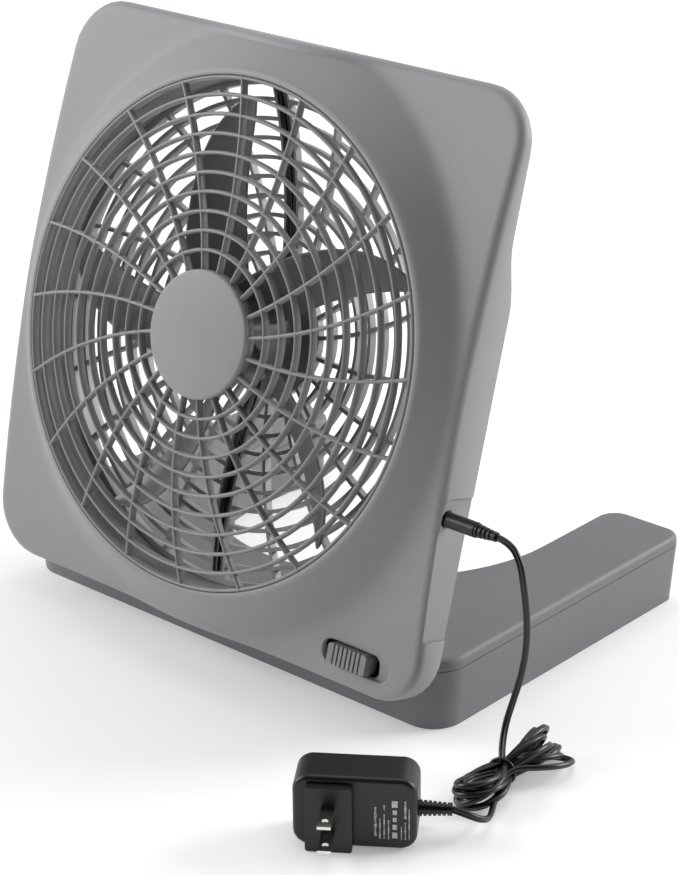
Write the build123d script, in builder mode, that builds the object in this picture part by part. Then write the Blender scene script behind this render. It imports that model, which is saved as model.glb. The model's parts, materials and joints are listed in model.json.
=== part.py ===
from build123d import *
import os
from math import asin, cos, degrees, pi, radians, sin, sqrt, tan

os.makedirs("parts", exist_ok=True)

# ---------------------------------------------------------------- driving dimensions
HEAD_W = 306.0          # width of the fan head
HEAD_H = 308.0          # height of the fan head along its own face
LEAN = 16.5             # the head leans back by this many degrees at rest
HEAD_Y = -107.7         # bottom front edge of the head, from the origin
HEAD_Z = 22.0           # bottom front edge of the head, above the table
HEAD_CORNER = 28.0      # corner radius of the head, seen from the front
BOW = 11.4              # the face bulges forward by this much at mid height
WALL = 2.4              # wall of every big moulding
BACK_LOW = 13.5         # depth of the side wall behind the face's chord, lower part
BACK_HIGH = 5.0         # the same near the top
STEP_LOW, STEP_HIGH = 205.0, 235.0   # heights where that step starts and ends

FAN_V = 155.5           # height of the fan's axis on the face
OPENING_R = 131.0       # air opening
RIM_FRONT = 25.0        # the rim round the opening stands this far before the chord
RIM_R = 133.0           # outer radius of the rim's flat lip
BEZEL_R = 143.0         # radius where the sloping bezel meets the face at mid height
DUCT_BACK = -3.2        # rear end of the front duct

HUB_R = 33.0
RING_COUNT = 9
RING_PITCH = 9.8
RIB = 2.1               # width of a grille bar
RIB_DEPTH = 4.5
SPOKES = 20
SPOKE_RIM_ANGLE = 4.2   # where the first spoke meets the rim, in degrees
SPOKE_SWEEP = 12.0      # a spoke turns back by this much on its way to the hub
DOME_TOP = 34.0         # front of the grille's dome on the axis
REAR_RIM = 4.0          # depth of the rear grille at its rim
REAR_SLOPE = 0.183      # the rear grille deepens by this much per millimetre inwards

HINGE_V = 17.0          # the tilt axis, on the head's own face
HINGE_BACK = 22.5       # and behind its chord
EAR_U = 100.0           # hinge ears, each side of the middle
EAR_W = 18.0
PIN_R = 2.0
PIN_PLAY = 0.05

BASE_W = 304.0
BASE_FRONT = -87.7
BASE_REAR = 121.5
BASE_H = 40.0
LID_SKIRT = 6.5         # visible side of the lid
BASE_DRAFT = 4.6        # the tray's walls lean in by this many degrees going down
FLOOR = 3.2
FRONT_CORNER = 20.0
ARM_OUTER_CORNER = 9.0
ARM_INNER_CORNER = 13.0
BAY_R = 103.0           # round bay between the arms, for the folded fan

CELL_R, CELL_L = 16.8, 61.5          # D cell
CELL_X = 127.5
CELL_Z = 20.1
CELLS_FRONT = -69.0     # front end of each row of three cells

CORD = 3.2              # width of the lead

# ---------------------------------------------------------------- planes and derived places
COS, SIN = cos(radians(LEAN)), sin(radians(LEAN))
# On the head's plane x runs to the right, y up the face and z forward out of it.
head = Plane(origin=(0, HEAD_Y, HEAD_Z), x_dir=(1, 0, 0), z_dir=(0, -COS, SIN))
# On the side plane x runs up the face and y forward.
side = Plane(origin=(0, HEAD_Y, HEAD_Z), x_dir=(0, SIN, COS), z_dir=(1, 0, 0))
# The fan's plane has its origin on the fan's axis, at the chord.
fan = Plane(origin=head.from_local_coords((0, FAN_V, 0)), x_dir=(1, 0, 0), z_dir=head.z_dir)
# On the radial plane x runs out along a radius and y forward.
radial = Plane(origin=fan.origin, x_dir=(1, 0, 0), z_dir=(0, -SIN, -COS))

HINGE = head.from_local_coords((0, HINGE_V, -HINGE_BACK))
HINGE_Y, HINGE_Z = HINGE.Y, HINGE.Z
BAY_Y = HINGE_Y + FAN_V - HINGE_V    # fan's axis when the head lies folded on the base
LID_Z = BASE_H - LID_SKIRT


def bow_at(v):
    """Forward bulge of the face at height v."""
    return BOW * (1 - ((v - HEAD_H / 2) / (HEAD_H / 2)) ** 2)


def cap_height(r, edge_r, rise):
    """Height at radius r of a spherical cap that rises by rise over the radius edge_r."""
    sphere_r = (edge_r ** 2 + rise ** 2) / (2 * rise)
    return sqrt(sphere_r ** 2 - r ** 2) - sphere_r + rise


def back_at(v):
    """Back of the head's side wall at height v, before the chord."""
    return -BACK_LOW if v < STEP_LOW else -BACK_HIGH


def dome_at(r):
    """Front of the front grille's bars at radius r, before the chord."""
    return RIM_FRONT + cap_height(r, OPENING_R, DOME_TOP - RIM_FRONT)


def rear_at(r):
    """Front of the rear grille's bars at radius r, before the chord."""
    return -(REAR_RIM + REAR_SLOPE * (127.0 - r))


def polar(r, angle):
    return (r * cos(radians(angle)), r * sin(radians(angle)))


def save(part, name):
    part.label = name
    export_step(part, f"parts/{name}.step")


# ---------------------------------------------------------------- front housing
def face_form(drop, grow):
    """The bowed slab and the sloping bezel, lowered by drop and with the back edge at grow."""
    back = -(BACK_LOW + grow)
    high = -(BACK_HIGH + grow)
    bezel_back = -12.0
    over = 2.0          # the slab runs past the head's ends, where the outline cuts it
    end_f = cap_height(HEAD_H / 2 + over, HEAD_H / 2, BOW) - drop
    slope = (BEZEL_R - RIM_R) / (RIM_FRONT - bow_at(FAN_V))
    with BuildPart() as form:
        with BuildSketch(side):
            with BuildLine():
                ThreePointArc((-over, end_f), (HEAD_H / 2, BOW - drop), (HEAD_H + over, end_f))
                Polyline((HEAD_H + over, end_f), (HEAD_H + over, high), (STEP_HIGH, high),
                         (STEP_LOW, back), (-over, back), (-over, end_f))
            make_face()
        extrude(amount=HEAD_W / 2, both=True)
        with BuildSketch(radial):
            foot_r = RIM_R + slope * (RIM_FRONT - bezel_back)
            with BuildLine():
                Polyline((0, bezel_back - drop), (foot_r, bezel_back - drop), (RIM_R, RIM_FRONT - drop),
                         (0, RIM_FRONT - drop), close=True)
            make_face()
        revolve(axis=Axis(fan.origin, fan.z_dir))
        with BuildSketch(side):
            with BuildLine():
                Polyline((-1, 60), (HEAD_H + 1, 60), (HEAD_H + 1, high), (STEP_HIGH, high),
                         (STEP_LOW, back), (-1, back), close=True)
            make_face()
        extrude(amount=HEAD_W, both=True, mode=Mode.INTERSECT)
    return form.part


PLATE = 2.2             # back plate of the head
SCREW_PAD = 2.0         # thickening of that plate at a screw
SCREW_HEAD_T = 1.8
SCREW_SINK = 0.3
SCREW_SPOTS = [(-143, 26), (143, 26), (-136, 290), (136, 290)]
PATCH_LOW, PATCH_HIGH = 38.0, 111.0      # shallow recess in the right wall, round the jack
PATCH_DEPTH = 1.0
JACK_V, JACK_F = 100.6, 3.2
SWITCH_U, SWITCH_V = 109.2, 16.0         # middle of the switch knob's travel
POCKET_L, POCKET_H = 35.6, 12.0
RECESS_L = 43.0

outer_form = face_form(0, 0)
inner_form = face_form(WALL, 8)

with BuildPart() as front_housing:
    with BuildSketch(head.offset(-BACK_LOW)):
        with Locations((0, HEAD_H / 2)):
            RectangleRounded(HEAD_W, HEAD_H, HEAD_CORNER)
    extrude(amount=BACK_LOW + RIM_FRONT)
    add(outer_form, mode=Mode.INTERSECT)
    with BuildPart(mode=Mode.PRIVATE) as core:
        with BuildSketch(head.offset(-BACK_LOW - 5)):
            with Locations((0, HEAD_H / 2)):
                RectangleRounded(HEAD_W - 2 * WALL, HEAD_H - 2 * WALL, HEAD_CORNER - WALL)
        extrude(amount=BACK_LOW + RIM_FRONT + 5)
        add(inner_form, mode=Mode.INTERSECT)
    add(core.part, mode=Mode.SUBTRACT)
    # duct
    with BuildSketch(fan.offset(DUCT_BACK)):
        Circle(OPENING_R + WALL)
    extrude(amount=RIM_FRONT - DUCT_BACK - 1.4)
    with BuildSketch(fan.offset(-40)):
        Circle(OPENING_R)
    extrude(amount=80, mode=Mode.SUBTRACT)
    # posts for the screws that hold the back
    for u, v in SCREW_SPOTS:
        post_back = back_at(v) + PLATE + SCREW_PAD + 0.2
        with BuildSketch(head.offset(post_back)):
            with Locations((u, v)):
                Circle(4.0)
        extrude(amount=bow_at(v) - post_back - 1.0)
        with BuildSketch(head.offset(post_back - 1)):
            with Locations((u, v)):
                Circle(1.55)
        extrude(amount=bow_at(v) - post_back - 1.0, mode=Mode.SUBTRACT)
    # switch recess: a thick pad behind the face, a shallow recess, a deep pocket and a slot
    with BuildSketch(head.offset(-6.5)):
        with Locations((SWITCH_U + 3.4, SWITCH_V)):
            SlotOverall(RECESS_L + 5, POCKET_H + 5.6)
    extrude(amount=6.5 + bow_at(SWITCH_V) - 1.0)
    with BuildSketch(head.offset(0.6)):
        with Locations((SWITCH_U + 3.4, SWITCH_V)):
            SlotOverall(RECESS_L, POCKET_H + 0.8)
    extrude(amount=10, mode=Mode.SUBTRACT)
    with BuildSketch(head.offset(-4.2)):
        with Locations((SWITCH_U, SWITCH_V)):
            RectangleRounded(POCKET_L, POCKET_H, 2.4)
    extrude(amount=12, mode=Mode.SUBTRACT)
    with BuildSketch(head.offset(-8)):
        with Locations((SWITCH_U, SWITCH_V)):
            RectangleRounded(17.0, 4.4, 1.0)
    extrude(amount=6, mode=Mode.SUBTRACT)
    # jack recess and hole in the right wall
    wall_side = Plane(origin=side.origin + Vector(HEAD_W / 2 - PATCH_DEPTH, 0, 0),
                      x_dir=side.x_dir, z_dir=side.z_dir)
    with BuildSketch(wall_side):
        with Locations(((PATCH_LOW + PATCH_HIGH) / 2, -9.0)):
            RectangleRounded(PATCH_HIGH - PATCH_LOW, 34.0, 5.0)
        with Locations(((PATCH_LOW + PATCH_HIGH) / 2, -30.0)):
            Rectangle(PATCH_HIGH - PATCH_LOW, 34.0)
    extrude(amount=5, mode=Mode.SUBTRACT)
    with BuildSketch(Plane(origin=side.origin + Vector(HEAD_W / 2 - 6, 0, 0),
                           x_dir=side.x_dir, z_dir=side.z_dir)):
        with Locations((JACK_V, JACK_F)):
            Circle(4.6)
    extrude(amount=10, mode=Mode.SUBTRACT)
save(front_housing.part, "front_housing")

# ---------------------------------------------------------------- rear housing
NEST = 0.3              # gap between the two housings
EAR_R = 7.0

with BuildPart() as rear_housing:
    with BuildSketch(side):
        with BuildLine():
            Polyline((0, -BACK_LOW), (STEP_LOW, -BACK_LOW), (STEP_HIGH, -BACK_HIGH), (HEAD_H, -BACK_HIGH),
                     (HEAD_H, -BACK_HIGH + PLATE), (STEP_HIGH - 1, -BACK_HIGH + PLATE),
                     (STEP_LOW - 1, -BACK_LOW + PLATE), (0, -BACK_LOW + PLATE), close=True)
        make_face()
    extrude(amount=HEAD_W / 2, both=True)
    inset = WALL + NEST
    with BuildSketch(head.offset(-40)):
        with Locations((0, HEAD_H / 2)):
            RectangleRounded(HEAD_W - 2 * inset, HEAD_H - 2 * inset, HEAD_CORNER - inset)
    extrude(amount=80, mode=Mode.INTERSECT)
    # collar that carries the duct on to the back
    with BuildSketch(fan.offset(-BACK_LOW)):
        Circle(OPENING_R + WALL)
    extrude(amount=BACK_LOW + DUCT_BACK - 0.2)
    with BuildSketch(fan.offset(-40)):
        Circle(OPENING_R)
    extrude(amount=80, mode=Mode.SUBTRACT)
    with BuildSketch(side):
        with BuildLine():
            Polyline((-1, 60), (HEAD_H + 1, 60), (HEAD_H + 1, -BACK_HIGH), (STEP_HIGH, -BACK_HIGH),
                     (STEP_LOW, -BACK_LOW), (-1, -BACK_LOW), close=True)
        make_face()
    extrude(amount=HEAD_W, both=True, mode=Mode.INTERSECT)
    with BuildSketch(fan.offset(DUCT_BACK - 0.2)):
        Circle(OPENING_R + WALL + 0.2)
    extrude(amount=30, mode=Mode.SUBTRACT)
    # ears that take the hinge pins
    for u in (-EAR_U, EAR_U):
        ear_side = Plane(origin=side.origin + Vector(u, 0, 0), x_dir=side.x_dir, z_dir=side.z_dir)
        with BuildSketch(ear_side):
            with Locations((HINGE_V, -HINGE_BACK)):
                Circle(EAR_R)
            with Locations((HINGE_V, -(HINGE_BACK + BACK_LOW) / 2)):
                Rectangle(2 * EAR_R - 3, HINGE_BACK - BACK_LOW)
        extrude(amount=EAR_W / 2, both=True)
        with BuildSketch(ear_side):
            with Locations((HINGE_V, -HINGE_BACK)):
                Circle(PIN_R + PIN_PLAY)
        extrude(amount=EAR_W, both=True, mode=Mode.SUBTRACT)
    # screw pads, counterbored so that the heads lie below the surface
    for u, v in SCREW_SPOTS:
        back = back_at(v)
        with BuildSketch(head.offset(back + PLATE - 0.2)):
            with Locations((u, v)):
                Circle(5.2)
        extrude(amount=SCREW_PAD + 0.2)
        with BuildSketch(head.offset(back - 1)):
            with Locations((u, v)):
                Circle(3.4)
        extrude(amount=1 + SCREW_HEAD_T + SCREW_SINK, mode=Mode.SUBTRACT)
        with BuildSketch(head.offset(back - 1)):
            with Locations((u, v)):
                Circle(1.9)
        extrude(amount=12, mode=Mode.SUBTRACT)
save(rear_housing.part, "rear_housing")

with BuildPart() as housing_screws:
    for u, v in SCREW_SPOTS:
        back = back_at(v)
        with BuildSketch(head.offset(back + SCREW_SINK)):
            with Locations((u, v)):
                Circle(3.2)
        extrude(amount=SCREW_HEAD_T)
        with BuildSketch(head.offset(back + SCREW_SINK + SCREW_HEAD_T)):
            with Locations((u, v)):
                Circle(1.5)
        extrude(amount=bow_at(v) - 2.4 - back - SCREW_SINK - SCREW_HEAD_T)
save(housing_screws.part, "housing_screws")


# ---------------------------------------------------------------- grilles
def bar_face(rim_angle, half_width, inner_r, outer_r):
    """Curved bar between two radii, flat, with the fan's axis at the origin."""
    mid_r = (inner_r + outer_r) / 2

    def edge_point(r, sign):
        turn = SPOKE_SWEEP * (OPENING_R - r) / (OPENING_R - HUB_R)
        return polar(r, rim_angle - turn + sign * degrees(asin(half_width / r)))

    with BuildSketch() as bar:
        with BuildLine():
            ThreePointArc(edge_point(inner_r, -1), edge_point(mid_r, -1), edge_point(outer_r, -1))
            Line(edge_point(outer_r, -1), edge_point(outer_r, 1))
            ThreePointArc(edge_point(outer_r, 1), edge_point(mid_r, 1), edge_point(inner_r, 1))
            Line(edge_point(inner_r, 1), edge_point(inner_r, -1))
        make_face()
    return bar.sketch_local


def ring_face(outer_r, inner_r):
    with BuildSketch() as ring:
        Circle(outer_r)
        Circle(inner_r, mode=Mode.SUBTRACT)
    return ring.sketch_local


RING_RADII = [HUB_R + RING_PITCH * (i + 1) for i in range(RING_COUNT)]
SPOKE_ANGLES = [SPOKE_RIM_ANGLE + 360 / SPOKES * i for i in range(SPOKES)]
STRUT_ANGLES = [SPOKE_ANGLES[5], SPOKE_ANGLES[15]]   # the wide ones, up and down from the motor
GRILLE_EDGE = OPENING_R - 0.1

with BuildPart() as front_grille:
    with BuildSketch(fan):
        Circle(HUB_R - 1)
        for r in RING_RADII:
            add(ring_face(r + RIB / 2, r - RIB / 2))
        for angle in SPOKE_ANGLES:
            add(bar_face(angle, RIB / 2, HUB_R - 3, GRILLE_EDGE - 0.5))
        add(ring_face(GRILLE_EDGE, GRILLE_EDGE - 1.6))
    extrude(amount=DOME_TOP + 5)
    with BuildPart(mode=Mode.PRIVATE) as dome:
        with BuildSketch(radial):
            with BuildLine():
                ThreePointArc((0, DOME_TOP), (OPENING_R / 2, dome_at(OPENING_R / 2)), (OPENING_R, RIM_FRONT))
                Line((OPENING_R, RIM_FRONT), (OPENING_R, RIM_FRONT - RIB_DEPTH))
                ThreePointArc((OPENING_R, RIM_FRONT - RIB_DEPTH),
                              (OPENING_R / 2, dome_at(OPENING_R / 2) - RIB_DEPTH), (0, DOME_TOP - RIB_DEPTH))
                Line((0, DOME_TOP - RIB_DEPTH), (0, DOME_TOP))
            make_face()
        revolve(axis=Axis(fan.origin, fan.z_dir))
    add(dome.part, mode=Mode.INTERSECT)
    # seat for the hub cap
    with BuildSketch(fan.offset(dome_at(HUB_R) - 1.2)):
        Circle(HUB_R + 0.3)
    extrude(amount=6, mode=Mode.SUBTRACT)
save(front_grille.part, "front_grille")

with BuildPart() as hub_cap:
    seat = dome_at(HUB_R) - 1.2
    cap_r = HUB_R - 1.5
    with BuildSketch(radial):
        with BuildLine():
            Line((0, seat), (HUB_R, seat))
            Line((HUB_R, seat), (HUB_R, seat + 1.6))
            ThreePointArc((HUB_R, seat + 1.6), (HUB_R - 0.5, seat + 2.4), (cap_r, seat + 2.7))
            ThreePointArc((cap_r, seat + 2.7), (cap_r / 2, seat + 2.7 + cap_height(cap_r / 2, cap_r, 1.2)),
                          (0, seat + 3.9))
            Line((0, seat + 3.9), (0, seat))
        make_face()
    revolve(axis=Axis(fan.origin, fan.z_dir))
save(hub_cap.part, "hub_cap")

REAR_HUB_R = 33.0
MOTOR_R = 17.8
STRUT_W = 10.0
STRUT_WALL = 1.6
REAR_HUB_FRONT = rear_at(REAR_HUB_R)
REAR_EDGE = rear_at(OPENING_R)
CUP_L = 14.0
CHANNEL_DEPTH = 2.8


def rear_cone(top_shift, bottom_shift):
    """Shallow cone of the rear grille, between two depths from its front surface."""
    with BuildPart() as cone:
        with BuildSketch(radial):
            with BuildLine():
                Polyline((0, REAR_HUB_FRONT + top_shift), (REAR_HUB_R, REAR_HUB_FRONT + top_shift),
                         (OPENING_R, REAR_EDGE + top_shift), (OPENING_R, REAR_EDGE + bottom_shift),
                         (REAR_HUB_R, REAR_HUB_FRONT + bottom_shift), (0, REAR_HUB_FRONT + bottom_shift),
                         close=True)
            make_face()
        revolve(axis=Axis(fan.origin, fan.z_dir))
    return cone.part


with BuildPart() as rear_grille:
    with BuildSketch(fan.offset(REAR_HUB_FRONT - RIB_DEPTH - 2)):
        Circle(REAR_HUB_R)
        for r in RING_RADII:
            add(ring_face(r + RIB / 2, r - RIB / 2))
        for angle in SPOKE_ANGLES:
            width = STRUT_W if angle in STRUT_ANGLES else RIB
            add(bar_face(angle, width / 2, REAR_HUB_R - 3, GRILLE_EDGE - 0.5))
        add(ring_face(GRILLE_EDGE, GRILLE_EDGE - 2.4))
    extrude(amount=40)
    add(rear_cone(0, -RIB_DEPTH), mode=Mode.INTERSECT)
    # a channel along each wide strut, for the wires
    with BuildPart(mode=Mode.PRIVATE) as channels:
        with BuildSketch(fan.offset(REAR_HUB_FRONT - RIB_DEPTH)):
            for angle in STRUT_ANGLES:
                add(bar_face(angle, STRUT_W / 2 - STRUT_WALL, MOTOR_R + 5, OPENING_R - 4))
        extrude(amount=40)
        add(rear_cone(5, -CHANNEL_DEPTH), mode=Mode.INTERSECT)
    add(channels.part, mode=Mode.SUBTRACT)
    # cup that holds the motor
    with BuildSketch(fan.offset(REAR_HUB_FRONT - 1)):
        Circle(MOTOR_R + 2.4)
    extrude(amount=CUP_L + 1)
    with BuildSketch(fan.offset(REAR_HUB_FRONT - 1)):
        Circle(MOTOR_R + 0.1)
    extrude(amount=CUP_L + 2, mode=Mode.SUBTRACT)
save(rear_grille.part, "rear_grille")

# ---------------------------------------------------------------- motor and impeller
SHAFT_R = 1.5
BUSH_R = 4.0
CAN_BACK = REAR_HUB_FRONT + 0.1
CAN_FRONT = 12.0
CAN_WALL = 1.2


def disc(builder_plane, outer_r, length, bore_r=0.0):
    """Round solid or ring on the given plane, growing forward."""
    with BuildPart() as round_part:
        with BuildSketch(builder_plane):
            Circle(outer_r)
            if bore_r:
                Circle(bore_r, mode=Mode.SUBTRACT)
        extrude(amount=length)
    return round_part.part


with BuildPart() as motor_can:
    with BuildSketch(fan.offset(CAN_BACK + 2.2)):
        Circle(MOTOR_R)
    extrude(amount=CAN_FRONT - CAN_BACK - 2.2)
    with BuildSketch(fan.offset(CAN_BACK + 2.2)):
        Circle(MOTOR_R - CAN_WALL)
    extrude(amount=CAN_FRONT - CAN_BACK - 2.2 - CAN_WALL, mode=Mode.SUBTRACT)
    with BuildSketch(fan.offset(CAN_BACK)):
        Circle(BUSH_R)
    extrude(amount=50, mode=Mode.SUBTRACT)
save(motor_can.part, "motor_can")

with BuildPart() as motor_end_cap:
    add(disc(fan.offset(CAN_BACK), MOTOR_R, 2.2, BUSH_R))
    with BuildSketch(fan.offset(CAN_BACK + 2.2)):
        Circle(MOTOR_R - CAN_WALL)
        Circle(MOTOR_R - CAN_WALL - 1.4, mode=Mode.SUBTRACT)
    extrude(amount=1.6)
save(motor_end_cap.part, "motor_end_cap")

with BuildPart() as motor_bushes:
    add(disc(fan.offset(CAN_BACK), BUSH_R, 3.4, SHAFT_R + PIN_PLAY))
    add(disc(fan.offset(CAN_FRONT - 2.6), BUSH_R, 3.4, SHAFT_R + PIN_PLAY))
save(motor_bushes.part, "motor_bushes")

with BuildPart() as motor_magnets:
    with BuildSketch(fan.offset(CAN_BACK + 6)):
        Circle(MOTOR_R - CAN_WALL - 0.1)
        Circle(13.2, mode=Mode.SUBTRACT)
        Rectangle(12, 60, mode=Mode.SUBTRACT)
    extrude(amount=20)
save(motor_magnets.part, "motor_magnets")

with BuildPart() as motor_brushes:
    with BuildSketch(fan.offset(CAN_BACK + 4)):
        with GridLocations(0, 11.4, 1, 2):
            Rectangle(2.4, 4.4)
    extrude(amount=2.4)
save(motor_brushes.part, "motor_brushes")

SHAFT_BACK = CAN_BACK + 0.4
SHAFT_FRONT = 23.0
with BuildPart() as motor_shaft:
    add(disc(fan.offset(SHAFT_BACK), SHAFT_R, SHAFT_FRONT - SHAFT_BACK))
save(motor_shaft.part, "motor_shaft")

with BuildPart() as armature:
    with BuildSketch(fan.offset(CAN_BACK + 7)):
        Circle(12.2)
        Circle(SHAFT_R, mode=Mode.SUBTRACT)
        with PolarLocations(11, 3):
            Rectangle(5.2, 1.8, mode=Mode.SUBTRACT)
    extrude(amount=17)
    add(disc(fan.offset(CAN_BACK + 4), 3.2, 3, SHAFT_R))
save(armature.part, "armature")

BLADES = 5
TIP_ANGLE = 24.0        # where the first blade's tip points
CUP_R = 25.0
CUP_BACK, CUP_FRONT = -3.0, 24.5
BLADE_TIP_R = 121.0
BLADE_T = 1.6
BLADE_F = 9.5           # middle of a blade, before the chord
# radius, chord, pitch in degrees and the angle by which the middle trails the tip
BLADE_STATIONS = [(CUP_R - 1.2, 34.0, 48.0, 30.0), (42.0, 34.0, 42.0, 22.0), (62.0, 32.0, 36.0, 17.0),
                  (83.0, 29.0, 31.0, 12.0), (101.0, 24.0, 28.0, 7.5), (112.0, 17.0, 26.0, 4.0),
                  (BLADE_TIP_R, 7.0, 25.0, 0.8)]

with BuildPart() as impeller:
    add(disc(fan.offset(CUP_BACK), CUP_R, CUP_FRONT - CUP_BACK, CUP_R - 1.8))
    add(disc(fan.offset(CUP_FRONT - 1.8), CUP_R - 1.0, 1.8, SHAFT_R))
    add(disc(fan.offset(CAN_FRONT + 1.6), 4.6, CUP_FRONT - CAN_FRONT - 1.6, SHAFT_R))
    for i in range(BLADES):
        with BuildPart(mode=Mode.PRIVATE) as blade:
            for r, chord, pitch, trail in BLADE_STATIONS:
                turn = radians(TIP_ANGLE + trail + 360 / BLADES * i)
                out = fan.x_dir * cos(turn) + fan.y_dir * sin(turn)
                along = fan.y_dir * cos(turn) - fan.x_dir * sin(turn)
                across = along * cos(radians(pitch)) + fan.z_dir * sin(radians(pitch))
                with BuildSketch(Plane(origin=fan.origin + out * r + fan.z_dir * BLADE_F, x_dir=across,
                                       z_dir=along.cross(fan.z_dir))):
                    Rectangle(chord, BLADE_T)
            loft(ruled=True)
        add(blade.part)
save(impeller.part, "impeller")

# ---------------------------------------------------------------- switch
KNOB_L, KNOB_H = 25.6, 11.2
KNOB_TRAVEL = 4.6
KNOB_BACK, KNOB_FRONT = -3.6, 5.6
KNOB_RIDGES = 8

with BuildPart() as switch_knob:
    with BuildSketch(head.offset(KNOB_BACK)):
        with Locations((SWITCH_U, SWITCH_V)):
            RectangleRounded(KNOB_L, KNOB_H, 2.0)
    extrude(amount=KNOB_FRONT - KNOB_BACK, taper=2)
    with BuildSketch(head.offset(KNOB_FRONT)):
        for i in range(KNOB_RIDGES - 1):
            with Locations((SWITCH_U + 2.8 * (i - (KNOB_RIDGES - 2) / 2), SWITCH_V)):
                Rectangle(1.1, KNOB_H + 4)
    extrude(amount=-1.2, mode=Mode.SUBTRACT)
    with BuildSketch(head.offset(KNOB_BACK)):
        with Locations((SWITCH_U, SWITCH_V)):
            Rectangle(6.4, 3.2)
    extrude(amount=-4.4)
save(switch_knob.part, "switch_knob")

SWITCH_FRONT = -6.6
with BuildPart() as switch_body:
    with BuildSketch(head.offset(SWITCH_FRONT - 4.4)):
        with Locations((SWITCH_U, SWITCH_V)):
            Rectangle(34, 12)
    extrude(amount=4.4)
    with BuildSketch(head.offset(SWITCH_FRONT - 2.4)):
        with Locations((SWITCH_U, SWITCH_V)):
            Rectangle(6.4 + 2 * KNOB_TRAVEL + 0.8, 3.8)
    extrude(amount=6, mode=Mode.SUBTRACT)
save(switch_body.part, "switch_body")

with BuildPart() as speed_resistor:
    with BuildSketch(head.offset(-9.0)):
        with Locations((SWITCH_U - 36, SWITCH_V - 2)):
            RectangleRounded(15, 6, 1)
    extrude(amount=5)
save(speed_resistor.part, "speed_resistor")

# ---------------------------------------------------------------- jack and plug
JACK = head.from_local_coords((0, JACK_V, JACK_F))
JACK_Y, JACK_Z = JACK.Y, JACK.Z
JACK_WALL_X = HEAD_W / 2 - PATCH_DEPTH
PLUG_R = 3.9
PLUG_L = 18.0
RELIEF_L = 12.0
PLUG_X = JACK_WALL_X + 0.4
RELIEF_X = PLUG_X + PLUG_L
CORD_X = RELIEF_X + RELIEF_L


def jack_plane(x):
    """Plane across the plug at x, facing to the right."""
    return Plane(origin=(x, JACK_Y, JACK_Z), x_dir=(0, 1, 0), z_dir=(1, 0, 0))


with BuildPart() as jack_body:
    with BuildSketch(Plane(origin=jack_plane(JACK_WALL_X - WALL - 11).origin, x_dir=side.x_dir,
                           z_dir=(1, 0, 0))):
        Rectangle(10.0, 7.4)
    extrude(amount=11 + PATCH_DEPTH - 0.2)
    with BuildSketch(jack_plane(JACK_WALL_X - WALL)):
        Circle(4.4)
    extrude(amount=WALL - 0.1)
    with BuildSketch(jack_plane(JACK_WALL_X - WALL - 9)):
        Circle(2.9)
    extrude(amount=20, mode=Mode.SUBTRACT)
    with BuildSketch(jack_plane(JACK_WALL_X - WALL - 9.5)):
        Circle(0.9)
    extrude(amount=8)
save(jack_body.part, "jack_body")

with BuildPart() as dc_plug:
    with BuildSketch(jack_plane(PLUG_X)):
        Circle(PLUG_R)
    extrude(amount=PLUG_L)
    fillet(dc_plug.edges().group_by(Axis.X)[0], 0.6)
    with BuildSketch(jack_plane(PLUG_X - 9)):
        Circle(2.75)
        Circle(1.1, mode=Mode.SUBTRACT)
    extrude(amount=9)
save(dc_plug.part, "dc_plug")


def ribbed_relief(start, length, big_r, small_r, ribs):
    """Tapered strain relief with grooves between its ribs, along the start plane's normal."""
    pitch = length / ribs
    across = Plane(origin=start.origin, x_dir=start.x_dir, z_dir=-start.y_dir)
    outline = [(0, 0)]
    for i in range(ribs):
        r = big_r + (small_r - big_r) * i / max(ribs - 1, 1)
        outline += [(r, pitch * i), (r, pitch * (i + 0.62))]
        if i < ribs - 1:
            outline += [(r - 0.9, pitch * (i + 0.7)), (r - 0.9, pitch * (i + 0.95))]
    outline += [(outline[-1][0], length), (0, length)]
    with BuildPart() as relief:
        with BuildSketch(across):
            with BuildLine():
                Polyline(*outline, close=True)
            make_face()
        revolve(axis=Axis(start.origin, start.z_dir))
    return relief.part


with BuildPart() as plug_relief:
    add(ribbed_relief(jack_plane(RELIEF_X), RELIEF_L, 3.5, 2.5, 5))
save(plug_relief.part, "plug_relief")

with BuildPart() as motor_wires:
    with BuildSketch(fan.offset(REAR_HUB_FRONT - RIB_DEPTH)):
        for angle in STRUT_ANGLES:
            for shift in (-1.0, 1.0):
                add(bar_face(angle + shift, 0.8, MOTOR_R + 8, OPENING_R - 6))
    extrude(amount=40)
    with BuildPart(mode=Mode.PRIVATE) as wire_layer:
        add(rear_cone(1.7 - CHANNEL_DEPTH, 0.1 - CHANNEL_DEPTH))
    add(wire_layer.part, mode=Mode.INTERSECT)
save(motor_wires.part, "motor_wires")

# ---------------------------------------------------------------- base
DRAFT_SHIFT = LID_Z * tan(radians(BASE_DRAFT))
BASE_MID = (BASE_FRONT + BASE_REAR) / 2
SEAM = 0.4
LID_EDGE = 4.0
SLOT_LOW, SLOT_BACK = 24.0, -73.0
BRACKET_W = 6.0
EAR_GAP = 0.6
SLOT_HALF = EAR_W / 2 + EAR_GAP
CELL_WALL_FRONT, CELL_WALL_REAR = CELLS_FRONT - 4.4, CELLS_FRONT + 3 * CELL_L + 2.2
DOOR_W, DOOR_T = 36.0, 1.6
DOOR_LOW = 0.8
DOOR_FRONT = CELLS_FRONT - 3.0
LID_POSTS = [(-75, -52), (-28, -66), (28, -66), (75, -52)]


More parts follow.
